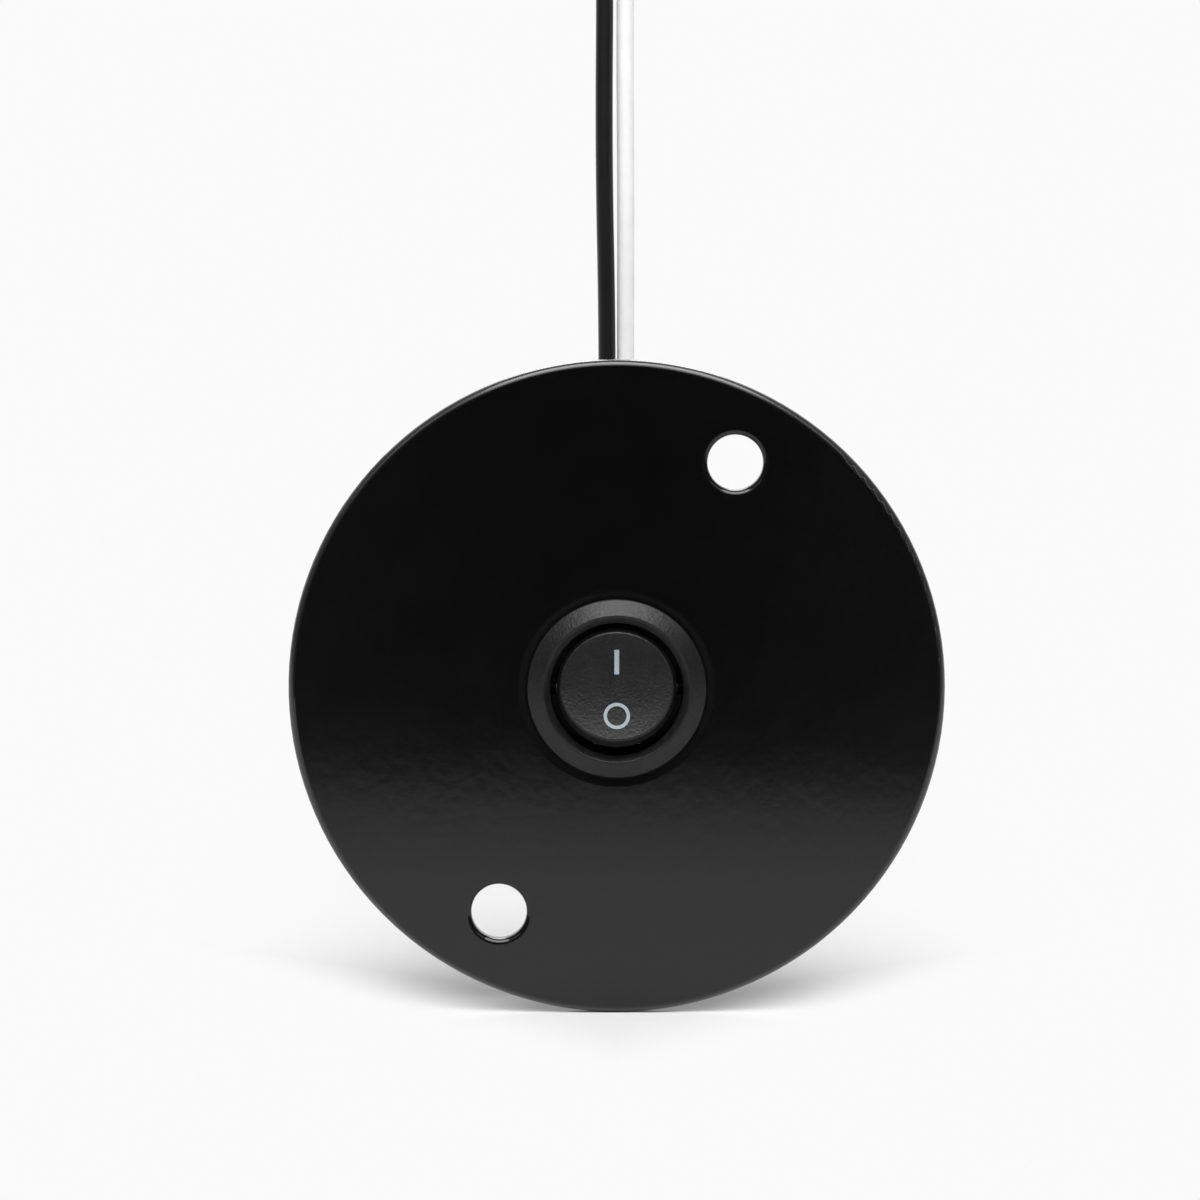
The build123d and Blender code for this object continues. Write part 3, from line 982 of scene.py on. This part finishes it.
@dataclass(frozen=True)
class CoverPlate:
    """The round metal plate that carries the switch."""

    node: str = "cover_plate"

    def build(self) -> None:
        """Dresses the plate."""
        dress(self.node, PLATE_COAT)


@dataclass(frozen=True)
class SwitchHousing:
    """The bezel, the well and the body, one moulding."""

    node: str = "switch_housing"

    def build(self) -> None:
        """Dresses the housing."""
        dress(self.node, BEZEL_NYLON)


@dataclass(frozen=True)
class TiltedPart:
    """What leans with the rocker at rest, turned about its pivot."""

    pivot: Point = (0.0, -1.0 * MM, 0.0)
    tilt_deg: float = 9.0

    @property
    def outward(self) -> Vector:
        """The direction in which the tilted face looks."""
        tilt = math.radians(self.tilt_deg)
        return Vector((0.0, -math.cos(tilt), math.sin(tilt)))

    @property
    def upward(self) -> Vector:
        """The direction up the tilted face."""
        tilt = math.radians(self.tilt_deg)
        return Vector((0.0, math.sin(tilt), math.cos(tilt)))

    def at(self, across: float, up: float, out: float) -> Vector:
        """A point in the rocker's own directions.

        Args:
            across: How far it is to the right of the pivot.
            up: How far it is up the face from the pivot.
            out: How far it is in front of the pivot.

        Returns:
            The point in the row frame.
        """
        return Vector(self.pivot) + Vector((across, 0, 0)) + self.upward * up + self.outward * out


@dataclass(frozen=True)
class RockerButton(TiltedPart):
    """The button, with the two marks printed on its face."""

    node: str = "rocker"
    bar_width: float = 0.64 * MM
    bar_height: float = 3.30 * MM
    bar_up: float = 3.3 * MM
    ring_outer: float = 1.78 * MM
    ring_stroke: float = 0.46 * MM
    ring_up: float = -3.95 * MM
    press_height: float = 12.0 * MM
    ring_steps: int = 96
    bar_steps: int = 24
    stroke_steps: int = 4

    def _on_pad(self, across: float, up: float) -> Vector:
        """A point of the printing pad, in front of the face."""
        return self.at(across, up, self.press_height)

    def _pad(self, name: str, grid: list[list[Vector]], closed: bool) -> bpy.types.Object:
        """A flat sheet of faces from rows of points.

        Args:
            name: The piece's name.
            grid: Rows of points, each row as long as the next.
            closed: Whether each row runs round to its start.

        Returns:
            The sheet as an object.
        """
        mesh = bpy.data.meshes.new(name)
        shape = bmesh.new()
        rows = [[shape.verts.new(p) for p in row] for row in grid]
        steps = len(rows[0]) if closed else len(rows[0]) - 1
        for low, high in zip(rows, rows[1:]):
            for i in range(steps):
                j = (i + 1) % len(low)
                shape.faces.new((low[i], low[j], high[j], high[i]))
        faces = shape.faces[:]
        bmesh.ops.recalc_face_normals(shape, faces=faces)
        if faces[0].normal.dot(self.outward) < 0:
            bmesh.ops.reverse_faces(shape, faces=faces)
        shape.to_mesh(mesh)
        shape.free()
        return shown_object(name, mesh)

    def bar_pad(self) -> bpy.types.Object:
        """The flat mark for on, a bar.

        Returns:
            The bar, not yet pressed onto the face.
        """
        across = steps_between(-self.bar_width / 2, self.bar_width / 2, self.stroke_steps)
        low, high = self.bar_up - self.bar_height / 2, self.bar_up + self.bar_height / 2
        ups = steps_between(low, high, self.bar_steps)
        grid = [[self._on_pad(x, up) for x in across] for up in ups]
        return self._pad("on_mark", grid, closed=False)

    def ring_pad(self) -> bpy.types.Object:
        """The flat mark for off, a ring.

        Returns:
            The ring, not yet pressed onto the face.
        """
        radii = steps_between(self.ring_outer, self.ring_outer - self.ring_stroke, self.stroke_steps)
        turns = [math.tau * i / self.ring_steps for i in range(self.ring_steps)]
        around = [(math.cos(turn), math.sin(turn)) for turn in turns]
        grid = [[self._on_pad(r * x, self.ring_up + r * up) for x, up in around] for r in radii]
        return self._pad("off_mark", grid, closed=True)

    def build(self) -> None:
        """Dresses the button and prints its marks."""
        dress(self.node, ROCKER_NYLON)
        press = PrintedMark(MARK_INK)
        for pad in (self.bar_pad(), self.ring_pad()):
            sizes = {"Carrier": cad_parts[self.node], "Direction": tuple(-self.outward)}
            mark = press.shape(pad, sizes)
            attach(mark, Body.ROCKER.value)
            log.info("%s is printed with %d faces", mark.name, len(mark.data.polygons))


@dataclass(frozen=True)
class PlungerSpring(TiltedPart):
    """The coil spring in the rocker's stem, which gets shorter as the plunger moves in."""

    node: str = "plunger_spring"
    wire: float = 0.35 * MM
    diameter: float = 2.7 * MM
    turns: float = 4.5
    shoulder: float = -2.6 * MM
    bore_end: float = 1.5 * MM
    play: float = 0.03 * MM
    stroke: float = 0.8 * MM

    def build(self) -> None:
        """Builds the spring in the CAD spring's place."""
        coil = blank_piece("plunger_coil")
        foot = self.shoulder + self.play + self.wire / 2
        head = self.bore_end - self.play - self.wire / 2
        sizes = {
            "Wire Radius": self.wire / 2,
            "Coil Radius": (self.diameter - self.wire) / 2,
            "Height": head - foot,
            "Turns": self.turns,
        }
        SpringCoil().shape(coil, sizes)
        turn = Matrix((Vector((1, 0, 0)), self.upward, self.outward)).transposed().to_4x4()
        coil.data.transform(Matrix.Translation(self.at(0, 0, foot)) @ turn)
        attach(coil, Body.ROCKER.value)
        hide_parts(self.node)
        tuple(self.at(0, 0, self.bore_end))
        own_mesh(coil)
        log.info("%s has %.1f turns", coil.name, self.turns)


@dataclass(frozen=True)
class ContactWorks:
    """What works inside the housing: plunger, spring, see-saw bar, contacts and terminals."""

    def build(self) -> None:
        """Dresses each part in its own metal or plastic and builds the spring."""
        dress("plunger", ACETAL)
        PlungerSpring().build()
        for node in ("contact_bar", "common_terminal", "load_terminal"):
            dress(node, PLATED_BRASS)
        for node in ("moving_contact", "fixed_contact"):
            dress(node, SILVER_ALLOY)


@dataclass(frozen=True)
class Connectors:
    """The push-on receptacles and the sleeves over them."""

    def build(self) -> None:
        """Dresses the receptacles and sleeves."""
        for side in ("common", "load"):
            dress(f"{side}_receptacle", BARE_BRASS)
            dress(f"{side}_sleeve", SLEEVE_VINYL)


@dataclass(frozen=True)
class Lead:
    """One insulated lead on its route, with its bared end."""

    name: str
    slot: str
    route_mm: tuple[Point, ...]
    jacket: Finish
    diameter: float = 2.5 * MM
    bared: float = 10.0 * MM
    overlap: float = 0.3 * MM
    strand_radius: float = 0.125 * MM
    twist: float = 0.8
    steps: int = 16
    round_steps: int = 6

    def centreline(self) -> bpy.types.Curve:
        """The route as one open spline.

        Returns:
            The curve, with no thickness yet.
        """
        curve = bpy.data.curves.new(self.name + "_line", "CURVE")
        curve.dimensions = "3D"
        curve.resolution_u = self.steps
        spline = curve.splines.new("NURBS")
        spline.points.add(len(self.route_mm) - 1)
        for point, place in zip(spline.points, self.route_mm):
            point.co = (*(c * MM for c in place), 1.0)
        spline.order_u = 3
        spline.use_endpoint_u = True
        return curve

    def _line_points(self, curve_object: bpy.types.Object) -> list[Vector]:
        """The points that the spline passes, while it has no thickness.

        Args:
            curve_object: The lead's object.

        Returns:
            The points in order.
        """
        depsgraph = bpy.context.evaluated_depsgraph_get()
        line = bpy.data.meshes.new_from_object(curve_object.evaluated_get(depsgraph))
        points = [v.co.copy() for v in line.vertices]
        bpy.data.meshes.remove(line)
        return points

    def bared_end(self, bundle: StrandBundle, points: list[Vector]) -> bpy.types.Object:
        """The twisted strands that stand out of the jacket.

        Args:
            bundle: The strands' tree.
            points: The spline's points.

        Returns:
            The strands, in place.
        """
        strands = blank_piece(self.name + "_strands")
        sizes = {
            "Strand Radius": self.strand_radius,
            "Length": self.bared + self.overlap,
            "Turns": self.twist,
        }
        bundle.shape(strands, sizes)
        direction = (points[-1] - points[-2]).normalized()
        turn = Vector((0, 0, 1)).rotation_difference(direction).to_matrix().to_4x4()
        strands.data.transform(Matrix.Translation(points[-1] - direction * self.overlap) @ turn)
        return strands

    def build(self, bundle: StrandBundle) -> None:
        """Args:
            bundle: The strands' tree.
        """
        curve = self.centreline()
        lead = shown_object(self.name + "_run", curve)
        bpy.context.view_layer.update()
        points = self._line_points(lead)
        strands = self.bared_end(bundle, points)
        curve.bevel_depth = self.diameter / 2
        curve.bevel_resolution = self.round_steps
        curve.use_fill_caps = True
        curve.materials.append(self.jacket.material())
        ends = (strands, self.name + "_end", "tinned_copper")
        for piece, node, slot in ((lead, self.name, self.slot), ends):
            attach(piece, Body.BASE.value)
            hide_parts(node)


BLACK_LEAD = Lead(
    "black_lead",
    "black_vinyl",
    (
        (0, 27.0, 0), (0, 34.5, 0), (-0.6, 41.0, 3.7), (-1.3, 44.9, 10.0), (-1.3, 46.2, 24.0),
        (-1.2, 47.4, 46.0), (-1.75, 47.2, 72.0), (-1.5, 47.9, 102.0), (-1.95, 47.3, 130.0),
    ),
    BLACK_JACKET,
)
WHITE_LEAD = Lead(
    "white_lead",
    "white_vinyl",
    (
        (0, 27.0, -6.2), (0, 34.5, -6.2), (0.55, 41.4, -2.6), (1.25, 46.0, 3.6), (1.45, 47.6, 16.0),
        (1.4, 47.9, 38.0), (1.5, 47.5, 64.0), (1.25, 48.0, 94.0), (1.7, 47.6, 123.0),
    ),
    WHITE_JACKET,
)


@dataclass(frozen=True)
class Softbox:
    """One rectangular lamp that looks at the object."""

    name: str
    azimuth_deg: float
    elevation_deg: float
    distance: float
    width: float
    height: float
    radiance: float

    def build(self, target: Vector) -> None:
        """Hangs the lamp.

        Args:
            target: The point that it looks at.
        """
        lamp = bpy.data.lights.new(self.name, "AREA")
        lamp.shape = "RECTANGLE"
        lamp.size, lamp.size_y = self.width, self.height
        lamp.energy = self.radiance * math.pi * self.width * self.height
        made = shown_object(self.name, lamp)
        azimuth, elevation = math.radians(self.azimuth_deg), math.radians(self.elevation_deg)
        back = Vector((
            math.sin(azimuth) * math.cos(elevation),
            -math.cos(azimuth) * math.cos(elevation),
            math.sin(elevation),
        ))
        made.location = target + back * self.distance
        made.rotation_euler = back.to_track_quat("Z", "Y").to_euler()


@dataclass(frozen=True)
class Studio:
    """Plain pale floor, soft lamps, a pale room and the camera of the photograph."""

    white: float = 0.96
    paper_dark: Colour = (0.67, 0.67, 0.67)
    paper_pale: Colour = (0.69, 0.69, 0.69)
    paper_grain_mm: float = 1.5
    floor_z: float = -44.46 * MM
    front_edge: float = -0.2145
    front_slant: float = 0.14
    far_edge: float = 1.6
    half_width: float = 1.6
    # Where the floor's painted glow takes over from the lamps' shadow: by distance from the foot, and
    # towards the front
    shadow_from: float = 20.0 * MM
    shadow_gone: float = 70.0 * MM
    shadow_length: float = 0.12
    shadow_slant: float = 1.5
    shadow_fades: float = 10.0 * MM
    shadow_ends: float = 46.0 * MM
    # painted reflection: for glossy rays the floor's glow is dimmed from 10 to 20 cm in front, so its
    # reflection in the plate is darker
    dims_from: float = 0.10
    dims_to: float = 0.20
    dims_by: float = 0.25
    ambient: float = 0.32
    dark_side: float = 0.015
    side_glow: float = 0.10
    glow_from: float = 0.01
    glow_to: float = 0.08
    bright_from: float = 0.0
    bright_to: float = 0.7
    look_at: Point = (-2.26 * MM, -1.9 * MM, 22.57 * MM)
    camera_distance: float = 0.65
    camera_elevation_deg: float = 5.0
    lens_mm: float = 144.67
    lens_shift: float = -0.065
    sensor_mm: float = 36.0
    clip_near: float = 0.05
    clip_far: float = 20.0
    softboxes: tuple[Softbox, ...] = (
        Softbox("overhead_softbox", 4, 64, 0.75, 0.70, 0.46, 6.8),
        Softbox("front_softbox", 0, 37, 0.75, 0.50, 0.25, 2.5),
        Softbox("left_softbox", -42, 34, 0.90, 0.24, 0.32, 1.35),
        Softbox("right_softbox", 42, 34, 0.90, 0.24, 0.32, 1.35),
        Softbox("back_softbox", 180, 38, 0.90, 0.40, 0.40, 6.0),
    )

    def _seen(self, graph: NodeGraph) -> Wire:
        """1 for the rays that see the studio as the photograph shows it, and else 0.

        Args:
            graph: The graph that gets the nodes.

        Returns:
            The largest of the ray kinds' values.
        """
        kinds = [graph.ray(kind) for kind in RayKind]
        return kinds[0].larger(kinds[1]).larger(kinds[2])

    def build_floor(self) -> None:
        """Lays the floor. Near the foot it keeps the lamps' shadow. Away from it, a painted glow of the
        room's white lifts that shadow, and in front the glow is dimmed for glossy rays as a painted
        reflection.
        """
        mesh = bpy.data.meshes.new("floor")
        w, near, far, z = self.half_width, self.front_edge, self.far_edge, self.floor_z
        lean = self.front_slant * w
        corners = [(-w, near - lean, z), (w, near + lean, z), (w, far, z), (-w, far, z)]
        mesh.from_pydata(corners, [], [(0, 1, 2, 3)])
        graph = ShaderGraph("pale_floor")
        # painted light: away from the foot the floor glows the room's white over the lamps' shadow, so
        # this mask shapes the shadow pool
        from_foot = graph.distance((1.0, self.shadow_length, 0.0))
        far_off = from_foot.ramp(self.shadow_from, self.shadow_gone)
        towards = graph.part(graph.place, "Y") * -1.0
        slanted = towards + graph.distance((1.0, 0.0, 0.0)) * self.shadow_slant
        in_front = slanted.ramp(self.shadow_fades, self.shadow_ends)
        painted_glow_share = far_off.larger(in_front) * self._seen(graph)
        grain = graph.noise(self.paper_grain_mm, detail=3.0)
        paper_colour = graph.mix(grain, self.paper_dark, self.paper_pale)
        paper = graph.node("ShaderNodeBsdfDiffuse", sockets={"Color": paper_colour})
        # painted reflection: glossy rays see this part of the floor dimmer than camera rays do
        mirrored = graph.ray(RayKind.GLOSSY)
        painted_dim_reflection = 1.0 - towards.ramp(self.dims_from, self.dims_to) * mirrored * self.dims_by
        glow = graph.node("ShaderNodeEmission", sockets={"Strength": painted_dim_reflection * self.white})
        mixed = graph.node("ShaderNodeMixShader", sockets={0: painted_glow_share, 1: paper, 2: glow})
        mesh.materials.append(graph.ends_in(mixed))
        shown_object("floor", mesh)

    def build_room(self) -> None:
        """Sets the room: white behind the object and to the camera, darker on the camera's side."""
        world = bpy.data.worlds.new("pale_room")
        world.use_nodes = True
        bpy.context.scene.world = world
        graph = NodeGraph(world.node_tree)
        towards = graph.node("ShaderNodeTexCoord", output="Generated")
        aside = graph.part(towards, "X").absolute()
        behind = graph.part(towards, "Y")
        side_glow = aside.ramp(self.glow_from, self.glow_to, smooth=False) * self.side_glow
        back_glow = behind.ramp(self.bright_from, self.bright_to) * (self.white - self.dark_side)
        mirrored = self.dark_side + side_glow + back_glow
        others = self.ambient + graph.ray(RayKind.GLOSSY) * (mirrored - self.ambient)
        strength = others + graph.ray(RayKind.CAMERA) * (self.white - others)
        shade = graph.node("ShaderNodeBackground", sockets={"Color": (1, 1, 1, 1), "Strength": strength})
        graph.node("ShaderNodeOutputWorld", sockets={"Surface": shade})

    def build_camera(self) -> None:
        """Sets the camera where the photograph was taken from."""
        lens = bpy.data.cameras.new("camera")
        lens.lens, lens.sensor_width = self.lens_mm, self.sensor_mm
        lens.shift_y = self.lens_shift
        lens.clip_start, lens.clip_end = self.clip_near, self.clip_far
        camera = shown_object("camera", lens)
        elevation = math.radians(self.camera_elevation_deg)
        back = Vector((0.0, -math.cos(elevation), math.sin(elevation)))
        camera.location = Vector(self.look_at) + back * self.camera_distance
        camera.rotation_euler = back.to_track_quat("Z", "Y").to_euler()
        bpy.context.scene.camera = camera

    def build(self) -> None:
        """Builds all of the studio."""
        bpy.context.scene.view_settings.view_transform = "Standard"
        self.build_floor()
        self.build_room()
        self.build_camera()
        for softbox in self.softboxes:
            softbox.build(Vector((0.0, 0.0, 0.0)))
            log.info("%s hangs at %.2f m", softbox.name, softbox.distance)


def main() -> None:
    """Builds the studio and each part of the switch, in order."""
    logging.basicConfig(level=logging.INFO, format="%(message)s")
    Studio().build()
    bundle = StrandBundle()
    BLACK_LEAD.build(bundle)
    WHITE_LEAD.build(bundle)
    CoverPlate().build()
    SwitchHousing().build()
    RockerButton().build()
    ContactWorks().build()
    Connectors().build()


if __name__ == "__main__":
    main()
